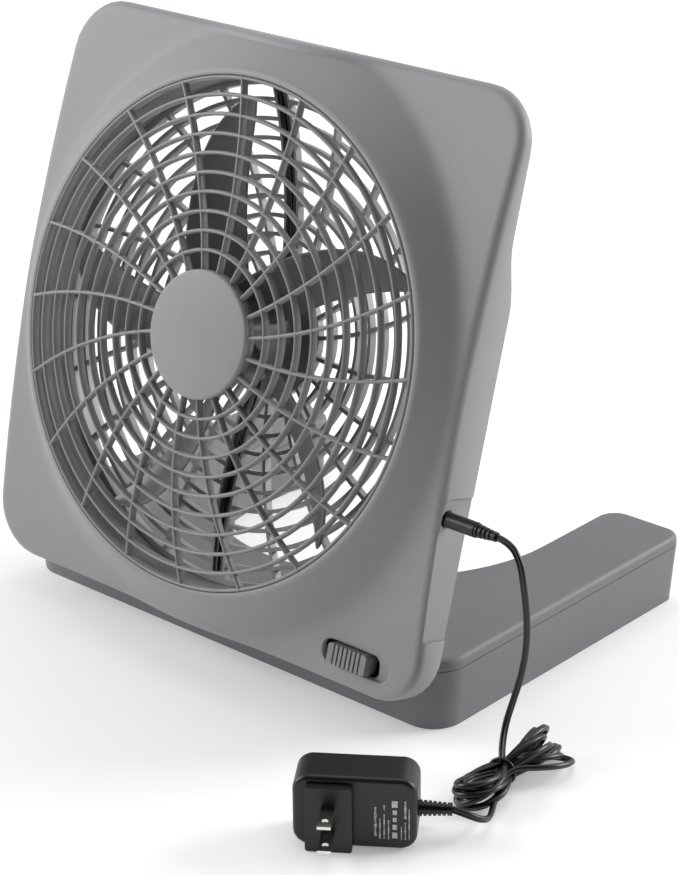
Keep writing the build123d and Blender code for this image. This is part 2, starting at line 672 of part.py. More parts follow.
def base_face(inset):
    """Outline of the base seen from above: two arms joined by a cross bar at the front."""
    with BuildSketch() as outline:
        with Locations((0, BASE_MID)):
            Rectangle(BASE_W, BASE_REAR - BASE_FRONT)
        fillet(outline.vertices().group_by(Axis.Y)[0], FRONT_CORNER)
        fillet(outline.vertices().group_by(Axis.Y)[-1], ARM_OUTER_CORNER)
        with Locations((0, BAY_Y)):
            Circle(BAY_R, mode=Mode.SUBTRACT)
        with Locations((0, BAY_Y + 100)):
            Rectangle(2 * BAY_R, 200, mode=Mode.SUBTRACT)
        bay_corners = [v for v in outline.vertices() if abs(v.Y - BASE_REAR) < 0.01 and abs(v.X) < BAY_R + 1]
        fillet(bay_corners, ARM_INNER_CORNER)
        offset(amount=-inset, kind=Kind.ARC)
    return outline.sketch_local


with BuildPart() as base_tray:
    with BuildSketch(Plane.XY):
        add(base_face(DRAFT_SHIFT))
    extrude(amount=LID_Z - SEAM, taper=-BASE_DRAFT)
    with BuildSketch(Plane.XY.offset(FLOOR)):
        add(base_face(DRAFT_SHIFT - FLOOR * tan(radians(BASE_DRAFT)) + WALL))
    extrude(amount=LID_Z, taper=-BASE_DRAFT, mode=Mode.SUBTRACT)
    # brackets that hold the hinge pins
    for s in (-1, 1):
        for inner in (-1, 1):
            middle = s * EAR_U + inner * (SLOT_HALF + BRACKET_W / 2)
            with BuildSketch(Plane.XY.offset(FLOOR - 0.5)):
                with Locations((middle, (BASE_FRONT + SLOT_BACK) / 2 + 1.4)):
                    Rectangle(BRACKET_W, SLOT_BACK - BASE_FRONT - 3.2)
            extrude(amount=36.6 - FLOOR)
        # slot for the ear
        with BuildSketch(Plane.XY.offset(SLOT_LOW)):
            with Locations((s * EAR_U, (BASE_FRONT + SLOT_BACK) / 2 - 2)):
                Rectangle(2 * SLOT_HALF, SLOT_BACK - BASE_FRONT + 4)
        extrude(amount=40, mode=Mode.SUBTRACT)
        # walls at the ends of the row of cells
        for wall_y in (CELL_WALL_FRONT, CELL_WALL_REAR):
            with BuildSketch(Plane.XY.offset(FLOOR - 0.5)):
                with Locations((s * CELL_X, wall_y)):
                    Rectangle(38, 1.6)
                add(base_face(DRAFT_SHIFT + WALL / 2), mode=Mode.INTERSECT)
            extrude(amount=LID_Z - FLOOR - 3.2)
        # opening for the cells, and the channel that the door slides in
        with BuildSketch(Plane.XY):
            with Locations((s * CELL_X, CELLS_FRONT + 1.5 * CELL_L)):
                Rectangle(DOOR_W - 3, 3 * CELL_L + 1)
        extrude(amount=FLOOR + 1, mode=Mode.SUBTRACT)
        with BuildSketch(Plane.XY):
            with Locations((s * CELL_X, (DOOR_FRONT - 0.3 + BASE_REAR + 20) / 2)):
                Rectangle(DOOR_W + 0.6, BASE_REAR + 20 - DOOR_FRONT + 0.3)
        extrude(amount=DOOR_LOW + DOOR_T + 0.2, mode=Mode.SUBTRACT)
    with BuildSketch(Plane.YZ):
        with Locations((HINGE_Y, HINGE_Z)):
            Circle(PIN_R)
    extrude(amount=BASE_W / 2 - 20, both=True, mode=Mode.SUBTRACT)
    # screw posts
    for x, y in LID_POSTS:
        with BuildSketch(Plane.XY.offset(FLOOR - 0.5)):
            with Locations((x, y)):
                Circle(4.0)
        extrude(amount=17.3)
        with BuildSketch(Plane.XY):
            with Locations((x, y)):
                Circle(1.9)
        extrude(amount=21, mode=Mode.SUBTRACT)
        with BuildSketch(Plane.XY):
            with Locations((x, y)):
                Circle(3.5)
        extrude(amount=2.2, mode=Mode.SUBTRACT)
save(base_tray.part, "base_tray")

with BuildPart() as base_lid:
    with BuildSketch(Plane.XY.offset(LID_Z)):
        add(base_face(0))
    extrude(amount=LID_SKIRT)
    fillet(base_lid.edges().group_by(Axis.Z)[-1], LID_EDGE)
    with BuildSketch(Plane.XY.offset(LID_Z)):
        add(base_face(WALL))
    extrude(amount=LID_SKIRT - WALL, mode=Mode.SUBTRACT)
    # lip that drops inside the tray
    with BuildSketch(Plane.XY.offset(LID_Z - 3.0)):
        add(base_face(WALL + 0.4))
        add(base_face(WALL + 1.8), mode=Mode.SUBTRACT)
        for s in (-1, 1):
            with Locations((s * EAR_U, BASE_FRONT + 8)):
                Rectangle(2 * (SLOT_HALF + BRACKET_W) + 3, 30, mode=Mode.SUBTRACT)
    extrude(amount=3.0 + LID_SKIRT - WALL + 0.2)
    for s in (-1, 1):
        with BuildSketch(Plane.XY.offset(LID_Z - 5)):
            with Locations((s * EAR_U, (BASE_FRONT + SLOT_BACK) / 2 - 2)):
                Rectangle(2 * SLOT_HALF, SLOT_BACK - BASE_FRONT + 4)
        extrude(amount=20, mode=Mode.SUBTRACT)
    for x, y in LID_POSTS:
        with BuildSketch(Plane.XY.offset(20.4)):
            with Locations((x, y)):
                Circle(4.0)
        extrude(amount=BASE_H - WALL + 0.4 - 20.4)
        with BuildSketch(Plane.XY.offset(20)):
            with Locations((x, y)):
                Circle(1.55)
        extrude(amount=14, mode=Mode.SUBTRACT)
save(base_lid.part, "base_lid")

with BuildPart() as base_screws:
    for x, y in LID_POSTS:
        with BuildSketch(Plane.XY.offset(0.4)):
            with Locations((x, y)):
                Circle(3.2)
        extrude(amount=1.8)
        with BuildSketch(Plane.XY.offset(2.2)):
            with Locations((x, y)):
                Circle(1.5)
        extrude(amount=28)
save(base_screws.part, "base_screws")

for s, where in ((-1, "left"), (1, "right")):
    with BuildPart() as hinge_pin:
        with BuildSketch(Plane.YZ.offset(s * EAR_U)):
            with Locations((HINGE_Y, HINGE_Z)):
                Circle(PIN_R)
        extrude(amount=SLOT_HALF + BRACKET_W, both=True)
    save(hinge_pin.part, f"hinge_pin_{where}")

    with BuildPart() as battery_door:
        with BuildSketch(Plane.XY.offset(DOOR_LOW)):
            with Locations((s * CELL_X, (DOOR_FRONT + BASE_REAR) / 2)):
                Rectangle(DOOR_W, BASE_REAR - DOOR_FRONT)
            add(base_face(DRAFT_SHIFT), mode=Mode.INTERSECT)
        extrude(amount=DOOR_T)
        # thumb grip
        with BuildSketch(Plane.XY.offset(DOOR_LOW)):
            with Locations((s * CELL_X, BASE_REAR - 26)):
                with GridLocations(0, 3.0, 1, 4):
                    Rectangle(20, 1.2)
        extrude(amount=0.6, mode=Mode.SUBTRACT)
    save(battery_door.part, f"battery_door_{where}")

    with BuildPart() as battery_cells:
        for i in range(3):
            back = CELLS_FRONT + CELL_L * i
            with BuildSketch(Plane.XZ.offset(-back)):
                with Locations((s * CELL_X, CELL_Z)):
                    Circle(CELL_R)
            extrude(amount=-(CELL_L - 1.5))
            with BuildSketch(Plane.XZ.offset(-(back + CELL_L - 1.5))):
                with Locations((s * CELL_X, CELL_Z)):
                    Circle(4.75)
            extrude(amount=-1.45)
    save(battery_cells.part, f"battery_cells_{where}")

with BuildPart() as battery_contacts:
    for s in (-1, 1):
        with BuildSketch(Plane.XZ.offset(-(CELLS_FRONT + 3 * CELL_L))):
            with Locations((s * CELL_X, CELL_Z)):
                Rectangle(22, 14)
        extrude(amount=-1.0)
        with BuildSketch(Plane.XZ.offset(-(CELL_WALL_FRONT + 0.9))):
            with Locations((s * CELL_X, CELL_Z)):
                Rectangle(22, 14)
        extrude(amount=-0.8)
save(battery_contacts.part, "battery_contacts")

with BuildPart() as battery_springs:
    for s in (-1, 1):
        for i, ring_r in enumerate((7.0, 5.6, 4.2)):
            with BuildSketch(Plane.XZ.offset(-(CELL_WALL_FRONT + 1.7 + 0.9 * i))):
                with Locations((s * CELL_X, CELL_Z)):
                    Circle(ring_r + 0.5)
                    Circle(ring_r - 1.0, mode=Mode.SUBTRACT)
            extrude(amount=-0.9)
save(battery_springs.part, "battery_springs")

with BuildPart() as friction_washers:
    for s in (-1, 1):
        for inner in (-1, 1):
            with BuildSketch(Plane.YZ.offset(s * EAR_U + inner * (EAR_W / 2 + EAR_GAP / 2))):
                with Locations((HINGE_Y, HINGE_Z)):
                    Circle(5.5)
                    Circle(PIN_R + PIN_PLAY, mode=Mode.SUBTRACT)
            extrude(amount=EAR_GAP / 2 - 0.02, both=True)
save(friction_washers.part, "friction_washers")

with BuildPart() as base_wires:
    with BuildSketch(Plane.YZ):
        with Locations((CELLS_FRONT - 2.4, 7.0), (CELLS_FRONT - 2.4, 10.0)):
            Circle(0.9)
    extrude(amount=CELL_X - 20, both=True)
save(base_wires.part, "base_wires")

# ---------------------------------------------------------------- mains adapter
ADAPTER_TURN = 35.5
ADAPTER_L, ADAPTER_H, ADAPTER_T = 58.0, 37.0, 24.0
ADAPTER_MID = -1.5      # middle of the case along its face, from the adapter plane's origin
ADAPTER_CORNER = 8.0
ADAPTER_EDGE = 2.6
ADAPTER_WALL = 1.8
BLOCK_L, BLOCK_H, BLOCK_T = 22.0, 33.6, 4.9
BLOCK_MID = -13.2
PRONG_GAP, PRONG_W, PRONG_T, PRONG_L = 12.7, 6.35, 1.5, 17.0
ADAPTER_RELIEF_L = 15.5
ADAPTER_CORD_Z = 16.0
turn = radians(ADAPTER_TURN)
# x runs along the label face, y up and z out of it
adapter = Plane(origin=(187.5, -188.8, 0), x_dir=(cos(turn), sin(turn), 0), z_dir=(sin(turn), -cos(turn), 0))


def adapter_half(back, forward_edge):
    """Half of the case, open at the parting line."""
    half = ADAPTER_T / 2
    opening = back if forward_edge else back + ADAPTER_WALL
    with BuildPart() as shell:
        with BuildSketch(adapter.offset(back)):
            with Locations((ADAPTER_MID, ADAPTER_H / 2)):
                RectangleRounded(ADAPTER_L, ADAPTER_H, ADAPTER_CORNER)
        extrude(amount=half)
        flat_faces = shell.faces().filter_by(Axis(adapter.origin, adapter.z_dir))
        rim = flat_faces.sort_by(Axis(adapter.origin, adapter.z_dir))[-1 if forward_edge else 0]
        fillet(rim.edges(), ADAPTER_EDGE)
        with BuildSketch(adapter.offset(opening)):
            with Locations((ADAPTER_MID, ADAPTER_H / 2)):
                RectangleRounded(ADAPTER_L - 2 * ADAPTER_WALL, ADAPTER_H - 2 * ADAPTER_WALL,
                                 ADAPTER_CORNER - ADAPTER_WALL)
        extrude(amount=half - ADAPTER_WALL, mode=Mode.SUBTRACT)
    return shell.part


with BuildPart() as adapter_front_shell:
    add(adapter_half(-ADAPTER_T / 2, True))
save(adapter_front_shell.part, "adapter_front_shell")

with BuildPart() as adapter_rear_shell:
    add(adapter_half(-ADAPTER_T, False))
save(adapter_rear_shell.part, "adapter_rear_shell")

with BuildPart() as adapter_plug_block:
    with BuildSketch(adapter):
        with Locations((BLOCK_MID, BLOCK_H / 2)):
            RectangleRounded(BLOCK_L, BLOCK_H, 1.5)
    extrude(amount=BLOCK_T)
    with BuildSketch(adapter.offset(-1)):
        with Locations((BLOCK_MID, (ADAPTER_H - PRONG_GAP) / 2 - 1.6), (BLOCK_MID, (ADAPTER_H + PRONG_GAP) / 2 - 1.6)):
            Rectangle(PRONG_W, PRONG_T)
    extrude(amount=10, mode=Mode.SUBTRACT)
save(adapter_plug_block.part, "adapter_plug_block")

with BuildPart() as adapter_prongs:
    for s in (-1, 1):
        z = ADAPTER_H / 2 - 1.6 + s * PRONG_GAP / 2
        with BuildSketch(adapter.offset(0.1)):
            with Locations((BLOCK_MID, z)):
                Rectangle(PRONG_W, PRONG_T)
        extrude(amount=BLOCK_T + PRONG_L)
        tip_plane = Plane(origin=adapter.from_local_coords((BLOCK_MID, z, 0)), x_dir=adapter.x_dir,
                          z_dir=(0, 0, 1))
        with BuildSketch(tip_plane):
            with Locations((0, -(BLOCK_T + PRONG_L - 5.2))):
                Circle(1.6)
        extrude(amount=PRONG_T, both=True, mode=Mode.SUBTRACT)
save(adapter_prongs.part, "adapter_prongs")

RELIEF_START = adapter.from_local_coords((ADAPTER_MID + ADAPTER_L / 2, ADAPTER_CORD_Z, -ADAPTER_T / 2))
relief_plane = Plane(origin=RELIEF_START, x_dir=(0, 0, 1), z_dir=adapter.x_dir)
with BuildPart() as adapter_relief:
    add(ribbed_relief(relief_plane, ADAPTER_RELIEF_L, 3.9, 3.1, 7))
save(adapter_relief.part, "adapter_relief")

with BuildPart() as adapter_board:
    with BuildSketch(adapter.offset(-ADAPTER_T + 3)):
        with Locations((ADAPTER_MID, ADAPTER_H / 2)):
            Rectangle(50, 28)
    extrude(amount=1.6)
save(adapter_board.part, "adapter_board")

with BuildPart() as adapter_transformer:
    with BuildSketch(adapter.offset(-ADAPTER_T + 4.6)):
        with Locations((ADAPTER_MID + 8, ADAPTER_H / 2)):
            Rectangle(16, 18)
    extrude(amount=14)
save(adapter_transformer.part, "adapter_transformer")

# ---------------------------------------------------------------- lead
# The lead falls from the plug to a hank on the table, and runs on from there to the adapter.
DROP_ROUTE = [(CORD_X + 0.25, JACK_Y, JACK_Z), (190.5, -82.4, 119.0), (197.5, -83.4, 112.2),
              (201.0, -84.6, 101.0), (203.5, -84.6, 85.0), (202.6, -83.2, 67.0), (198.8, -82.2, 50.0),
              (194.2, -82.4, 35.0), (192.4, -86.0, 22.5), (197.5, -95.0, 11.0)]
RELIEF_END = RELIEF_START + adapter.x_dir * ADAPTER_RELIEF_L
LEAD_ROUTE = [(RELIEF_END.X, RELIEF_END.Y, RELIEF_END.Z), (220.5, -150.2, 13.5), (221.5, -143.5, 9.0),
              (218.0, -137.0, 6.0), (212.0, -130.0, 6.0)]


def lead_tube(route, name):
    """Round tube of straight runs joined by arcs, each as large as its two runs allow."""
    points = [Vector(*p) for p in route]
    radii = []
    for a, b, c in zip(points, points[1:], points[2:]):
        half_turn = radians((b - a).get_angle(c - b)) / 2
        radii.append(0.45 * min((b - a).length, (c - b).length) / tan(half_turn))
    with BuildPart() as tube:
        with BuildLine() as path:
            FilletPolyline(*points, radius=radii)
        with BuildSketch(Plane(origin=points[0], z_dir=points[1] - points[0])):
            Circle(CORD / 2)
        sweep(path=path.wires()[0])
    length = path.wires()[0].length
    print(name, "radii", [round(r, 1) for r in radii], "length", round(length, 1),
          "volume ratio", round(tube.part.volume / (pi * CORD ** 2 / 4 * length), 4))
    return tube.part


with BuildPart() as lead_drop:
    add(lead_tube(DROP_ROUTE, "lead_drop"))
save(lead_drop.part, "lead_drop")

with BuildPart() as lead_tail:
    add(lead_tube(LEAD_ROUTE, "lead_tail"))
save(lead_tail.part, "lead_tail")

# y, middle x, half width and half height of the hank, from its near end to its far end
HANK_STATIONS = [(-136.0, 205.0, 6.0, 5.0), (-129.0, 206.5, 11.0, 8.0), (-116.0, 206.0, 10.0, 8.0),
                 (-101.0, 203.0, 6.5, 6.5), (-87.0, 203.0, 10.5, 8.0), (-72.0, 203.0, 15.0, 8.0),
                 (-60.0, 201.0, 9.0, 5.5)]
with BuildPart() as lead_hank:
    for y, x, half_w, half_h in HANK_STATIONS:
        with BuildSketch(Plane.XZ.offset(-y)):
            with Locations((x, half_h + 0.1)):
                Ellipse(half_w, half_h)
    loft(ruled=True)
save(lead_hank.part, "lead_hank")
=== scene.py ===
import json
from math import atan2, cos, exp, pi, radians, sin, sqrt

import bpy
from mathutils import Matrix, Vector


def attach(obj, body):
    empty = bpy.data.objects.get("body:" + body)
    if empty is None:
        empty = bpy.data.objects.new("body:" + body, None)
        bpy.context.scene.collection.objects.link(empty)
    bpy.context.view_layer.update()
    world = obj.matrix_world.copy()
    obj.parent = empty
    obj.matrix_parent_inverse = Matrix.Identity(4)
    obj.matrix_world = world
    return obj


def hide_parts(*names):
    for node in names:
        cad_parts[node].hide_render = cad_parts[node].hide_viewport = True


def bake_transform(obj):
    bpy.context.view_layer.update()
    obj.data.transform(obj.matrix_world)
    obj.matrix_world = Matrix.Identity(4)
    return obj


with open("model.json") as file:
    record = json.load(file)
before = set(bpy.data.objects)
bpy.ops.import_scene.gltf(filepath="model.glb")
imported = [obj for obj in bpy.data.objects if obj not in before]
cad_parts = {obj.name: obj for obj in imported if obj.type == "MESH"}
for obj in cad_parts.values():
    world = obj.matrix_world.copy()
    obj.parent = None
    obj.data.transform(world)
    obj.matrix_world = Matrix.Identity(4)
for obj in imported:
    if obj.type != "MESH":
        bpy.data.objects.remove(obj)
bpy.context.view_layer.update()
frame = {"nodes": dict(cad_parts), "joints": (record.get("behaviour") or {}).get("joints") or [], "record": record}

# ---------------------------------------------------------------- studio
# A white floor that runs out of sight and glows a little, soft lights at the front left, above
# and behind on the right, and the camera at three quarters from the front right. The sky is
# bright behind and above the object and dim on the camera's side, as a studio's dark end is.
FLOOR_SIZE = 40.0
FLOOR_LEVEL = -0.0002
FLOOR_FINISH = {"Base Color": (0.82, 0.82, 0.82, 1.0), "Roughness": 0.7,
                "Emission Color": (1.0, 1.0, 1.0, 1.0), "Emission Strength": 0.28}
bpy.context.scene.view_settings.view_transform = "Standard"
bpy.ops.object.select_all(action="DESELECT")
bpy.ops.mesh.primitive_plane_add(size=FLOOR_SIZE, location=(0.0, 0.0, FLOOR_LEVEL))
floor = bpy.context.object
floor.name = "studio_floor"
floor_paint = bpy.data.materials.new("floor_paint")
floor_paint.use_nodes = True
floor_shader = floor_paint.node_tree.nodes["Principled BSDF"]
for socket, value in FLOOR_FINISH.items():
    floor_shader.inputs[socket].default_value = value
floor.data.materials.append(floor_paint)

SKY_DARK_SIDE = (0.66, -0.72, 0.2)
# from the bright side of the sky to the dark one
SKY_FALLOFF = {"From Min": -0.6, "From Max": 0.6, "To Min": 0.85, "To Max": 0.03}
sky = bpy.data.worlds.new("studio_sky")
bpy.context.scene.world = sky
sky.use_nodes = True
sky_nodes, sky_links = sky.node_tree.nodes, sky.node_tree.links
backdrop = sky_nodes["Background"]
backdrop.inputs["Color"].default_value = (1.0, 1.0, 1.0, 1.0)
direction = sky_nodes.new("ShaderNodeTexCoord")
towards_dark = sky_nodes.new("ShaderNodeVectorMath")
towards_dark.operation = "DOT_PRODUCT"
towards_dark.inputs[1].default_value = SKY_DARK_SIDE
sky_links.new(direction.outputs["Generated"], towards_dark.inputs[0])
falloff = sky_nodes.new("ShaderNodeMapRange")
for socket, value in SKY_FALLOFF.items():
    falloff.inputs[socket].default_value = value
sky_links.new(towards_dark.outputs["Value"], falloff.inputs["Value"])
sight = sky_nodes.new("ShaderNodeLightPath")
brightness = sky_nodes.new("ShaderNodeMath")
brightness.operation = "MAXIMUM"
sky_links.new(falloff.outputs["Result"], brightness.inputs[0])
sky_links.new(sight.outputs["Is Camera Ray"], brightness.inputs[1])
sky_links.new(brightness.outputs["Value"], backdrop.inputs["Strength"])

LIGHTS_AIM = Vector((0.0, 0.0, 0.12))
# place, side of the square lamp and power of each
LIGHTS = {
    "front_light": ((-2.1, -1.5, 1.3), 1.4, 52.0),
    "top_light": ((0.1, 0.3, 1.7), 1.4, 8.0),
    "rear_light": ((1.4, 1.9, 1.0), 1.1, 46.0),
}
for name, (place, size, power) in LIGHTS.items():
    lamp = bpy.data.lights.new(name, "AREA")
    lamp.size = size
    lamp.energy = power
    holder = bpy.data.objects.new(name, lamp)
    bpy.context.collection.objects.link(holder)
    holder.location = place
    holder.rotation_euler = (LIGHTS_AIM - holder.location).to_track_quat("-Z", "Y").to_euler()

CAMERA_PLACE = Vector((0.8824, -0.9739, 0.6602))
CAMERA_AIM = Vector((0.1056, -0.1077, 0.1577))
CAMERA_ROLL = radians(-0.5)
CAMERA_LENS = 108.63
CAMERA_SENSOR = 36.0
lens = bpy.data.cameras.new("camera")
lens.lens = CAMERA_LENS
lens.sensor_width = CAMERA_SENSOR
camera = bpy.data.objects.new("camera", lens)
bpy.context.collection.objects.link(camera)
aim = (CAMERA_AIM - CAMERA_PLACE).to_track_quat("-Z", "Y").to_matrix().to_4x4()
camera.matrix_world = Matrix.Translation(CAMERA_PLACE) @ aim @ Matrix.Rotation(CAMERA_ROLL, 4, "Z")
bpy.context.scene.camera = camera


# ---------------------------------------------------------------- finishes
# Fine-textured grey ABS on the mouldings, smoky blades, black plastic and PVC on the adapter
# and its lead, nickel, steel, copper and the materials of the parts inside.
class Value:
    """One value or colour in a finish, on which plain arithmetic can be written."""

    def __init__(self, finish, socket):
        self.finish = finish
        self.socket = socket

    def reckon(self, operation, a, b):
        return self.finish.node("Math", {"operation": operation}, {0: a, 1: b})

    def __add__(self, other):
        return self.reckon("ADD", self, other)

    __radd__ = __add__

    def __sub__(self, other):
        return self.reckon("SUBTRACT", self, other)

    def __rsub__(self, other):
        return self.reckon("SUBTRACT", other, self)

    def __mul__(self, other):
        return self.reckon("MULTIPLY", self, other)

    __rmul__ = __mul__

    def between(self, low, high):
        """0 below low, 1 above high, and smooth from one to the other."""
        return self.finish.node("MapRange", {"interpolation_type": "SMOOTHSTEP"},
                                {"Value": self, "From Min": low, "From Max": high})


class Finish:
    """A material whose nodes are added one by one."""

    def __init__(self, name):
        self.material = bpy.data.materials.new(name)
        self.material.use_nodes = True
        self.tree = self.material.node_tree
        self.shader = self.tree.nodes["Principled BSDF"]

    def fill(self, node, values):
        for name, value in values.items():
            if isinstance(value, Value):
                self.tree.links.new(value.socket, node.inputs[name])
            else:
                node.inputs[name].default_value = value

    def node(self, kind, settings, values, output=0):
        node = self.tree.nodes.new("ShaderNode" + kind)
        for name, value in settings.items():
            setattr(node, name, value)
        self.fill(node, values)
        return Value(self, node.outputs[output])

    def place(self):
        return self.node("TexCoord", {}, {}, "Object")

    def noise(self, scale, detail=3.0, place=None):
        return self.node("TexNoise", {},
                         {"Vector": place or self.place(), "Scale": scale, "Detail": detail})

    def mix(self, share, a, b):
        """Colour a where share is 0 and colour b where it is 1."""
        return self.node("Mix", {"data_type": "RGBA"}, {0: share, 6: a, 7: b}, 2)

    def bump(self, height, distance, strength=1.0):
        return self.node("Bump", {}, {"Height": height, "Distance": distance, "Strength": strength})

    def shade(self, **values):
        self.fill(self.shader, {name.replace("_", " "): value for name, value in values.items()})


def tone(colour, factor):
    """A lighter or darker tone of a colour, with full alpha."""
    return tuple(channel * factor for channel in colour) + (1.0,)


def moulded(name, colour, rough, grain=2600.0, depth=0.00006, spread=0.06, **more):
    """Spark-eroded plastic: a fine grain, cloudy tone, and slightly polished high spots."""
    finish = Finish(name)
    fine = finish.noise(grain, 2.0)
    cloud = finish.noise(14.0, 4.0)
    speck = finish.noise(900.0, 1.0)
    share = cloud * 0.6 + fine * 0.25 + speck * 0.15
    dark, light = tone(colour, 1 - spread), tone(colour, 1 + spread)
    finish.shade(Base_Color=finish.mix(share.between(0.3, 0.7), dark, light),
                 Roughness=rough + (cloud - 0.5) * 0.12,
                 Normal=finish.bump(fine + speck * 0.6, depth), **more)
    return finish.material


def metal(name, colour, rough, scratch=(60.0, 60.0, 2400.0)):
    """Drawn or plated metal with fine lines along one way."""
    finish = Finish(name)
    turned = finish.node("Mapping", {}, {"Vector": finish.place(), "Scale": scratch})
    lines = finish.noise(1.0, 4.0, turned)
    dull = finish.noise(120.0, 3.0)
    finish.shade(Base_Color=finish.mix(dull, tone(colour, 0.88), tone(colour, 1.08)), Metallic=1.0,
                 Roughness=rough + lines * 0.14 + (dull - 0.5) * 0.1,
                 Normal=finish.bump(lines, 0.00003, 0.5))
    return finish.material


def wound(name, colour):
    """Enamelled wire, laid turn beside turn, with painted shade in the grooves between turns and the crests
    painted lighter.
    """
    finish = Finish(name)
    turns = finish.node("TexWave", {"bands_direction": "Z"}, {"Vector": finish.place(), "Scale": 900.0})
    # the colour follows the turns' bump: painted shade in the grooves between turns, painted highlight on their
    # crests
    finish.shade(Base_Color=finish.mix(turns, tone(colour, 0.5), tone(colour, 1.1)), Metallic=0.9,
                 Roughness=0.3 + turns * 0.2, Normal=finish.bump(turns, 0.0002))
    return finish.material


FINISHES = {
    "housing": moulded("housing_abs", (0.292, 0.297, 0.307), 0.52),
    # the base is the housing's grey ABS; its darker colour is painted shade, for the base gets less light from the
    # front
    "base": moulded("base_abs_painted_shade", (0.172, 0.176, 0.183), 0.50),
    "grille": moulded("grille_abs", (0.255, 0.260, 0.268), 0.40, depth=0.00003),
    "blade": moulded("blade_smoke", (0.22, 0.224, 0.232), 0.30, depth=0.00002, spread=0.04),
    "knob": moulded("knob_abs", (0.24, 0.244, 0.25), 0.45),
    "black_plastic": moulded("black_abs", (0.0075, 0.0075, 0.0085), 0.36, depth=0.00005, spread=0.12),
    "cord": moulded("black_pvc", (0.006, 0.006, 0.0065), 0.33, grain=1400.0, depth=0.00004, spread=0.15),
    "nickel": metal("nickel_plate", (0.74, 0.72, 0.68), 0.16),
    "steel": metal("steel_zinc", (0.56, 0.56, 0.57), 0.28),
    "copper": wound("copper_enamel", (0.55, 0.26, 0.12)),
    "board": moulded("board_resin", (0.03, 0.10, 0.05), 0.4),
    "ferrite": moulded("ferrite_grey", (0.035, 0.035, 0.037), 0.6),
    "cell_jacket": moulded("cell_film", (0.05, 0.05, 0.055), 0.25, depth=0.00001),
    "ceramic": moulded("ceramic_white", (0.72, 0.71, 0.67), 0.6),
    "nylon": moulded("nylon_natural", (0.74, 0.73, 0.69), 0.4),
}
for part in frame["record"]["subparts"]:
    slots = frame["nodes"][part["node"]].data.materials
    slots.clear()
    slots.append(FINISHES[part["material_slot"]])


# ---------------------------------------------------------------- lead
# The flat twin lead of the adapter, black PVC, falls from the plug to the table, is folded
# into a loose hank held by a tie, and runs on to the adapter's strain relief.
LEAD_W = 0.0034
LEAD_T = 0.0029
LEAD_TILT = radians(70)
PLUG_EXIT = Vector((0.18265, -0.08217, 0.11934))
# from the plug down to the hank, and from the hank to the adapter's strain relief
DROP = [PLUG_EXIT, (0.1905, -0.0824, 0.1190), (0.1975, -0.0834, 0.1122), (0.2010, -0.0846, 0.1010),
        (0.2035, -0.0846, 0.0850), (0.2026, -0.0832, 0.0670), (0.1988, -0.0822, 0.0500),
        (0.1942, -0.0824, 0.0350), (0.1924, -0.0860, 0.0225), (0.1975, -0.0950, 0.0130)]
TAIL = [(0.2155, -0.1230, 0.0050), (0.2200, -0.1305, 0.0050), (0.2240, -0.1375, 0.0064),
        (0.2245, -0.1445, 0.0096), (0.2212, -0.1502, 0.0136)]
HANK_EXIT = (0.2105, -0.1130, 0.0050)
RELIEF_EXIT = (0.2155, -0.1541, 0.0160)
TIE = Vector((0.2030, -0.1010, 0.0080))
TIE_R, TIE_WIRE_R = 0.0066, 0.0008
BUNDLE_R = 0.0050
PASS_TURN = 2.4             # radians round the bundle from one pass to the next
TURNS = 8
LOBE_STEPS = 8
NEAR_REACH, FAR_REACH = 0.0320, 0.0345      # length of the loops on each side of the tie
LOBE_HALF_W = 0.0094
LOWEST = LEAD_W * 0.56      # of the lead's middle line over the table


def bundle_spot(i):
    """Where pass i of the lead goes through the tie: the passes fill a disc, from its middle out."""
    r = BUNDLE_R * sqrt((i + 0.5) / (2 * TURNS + 1))
    return TIE + Vector((r * cos(PASS_TURN * i), 0.0, r * sin(PASS_TURN * i)))


def lobe(start, end, way, reach, half_w, tilt, shift):
    """One loop of the hank, out from the tie and back, in a plane tilted about the hank's length."""
    points = []
    for step in range(LOBE_STEPS):
        t = pi * step / LOBE_STEPS
        side = -1.6 * half_w * cos(t) * sqrt(sin(t))
        foot = start.lerp(end, t / pi) + shift * sin(t)
        place = foot + Vector((side * cos(tilt), way * reach * sin(t), side * sin(tilt)))
        place.z = max(place.z, LOWEST)
        points.append(place)
    return points


hank = []
for turn in range(TURNS):
    share = turn / (TURNS - 1)
    wobble = sin(4.1 * turn + 0.6)
    hank += lobe(bundle_spot(2 * turn), bundle_spot(2 * turn + 1), -1, NEAR_REACH + 0.0024 * wobble,
                 LOBE_HALF_W + 0.0012 * wobble, radians(12 + 9 * wobble),
                 Vector((0.002, 0.0, 0.0066 - 0.0118 * share)))
    hank += lobe(bundle_spot(2 * turn + 1), bundle_spot(2 * turn + 2), 1, FAR_REACH - 0.0042 * wobble,
                 LOBE_HALF_W - 0.0008 * wobble, radians(70 - 62 * share),
                 Vector((-0.005 + 0.014 * share, 0.0, 0.0052 - 0.0110 * share)))
lead_points = DROP + hank + [bundle_spot(2 * TURNS), HANK_EXIT] + TAIL + [RELIEF_EXIT]

route = bpy.data.curves.new("lead", "CURVE")
route.dimensions = "3D"
spline = route.splines.new("NURBS")
spline.points.add(len(lead_points) - 1)
for point, place in zip(spline.points, lead_points):
    point.co = (*place, 1.0)
    point.tilt = LEAD_TILT
spline.order_u = 3
spline.use_endpoint_u = True
route.resolution_u = 5
lead = bpy.data.objects.new("lead", route)
bpy.context.collection.objects.link(lead)
bpy.context.view_layer.update()
centre_line = [v.co.copy() for v in bpy.data.meshes.new_from_object(lead).vertices]

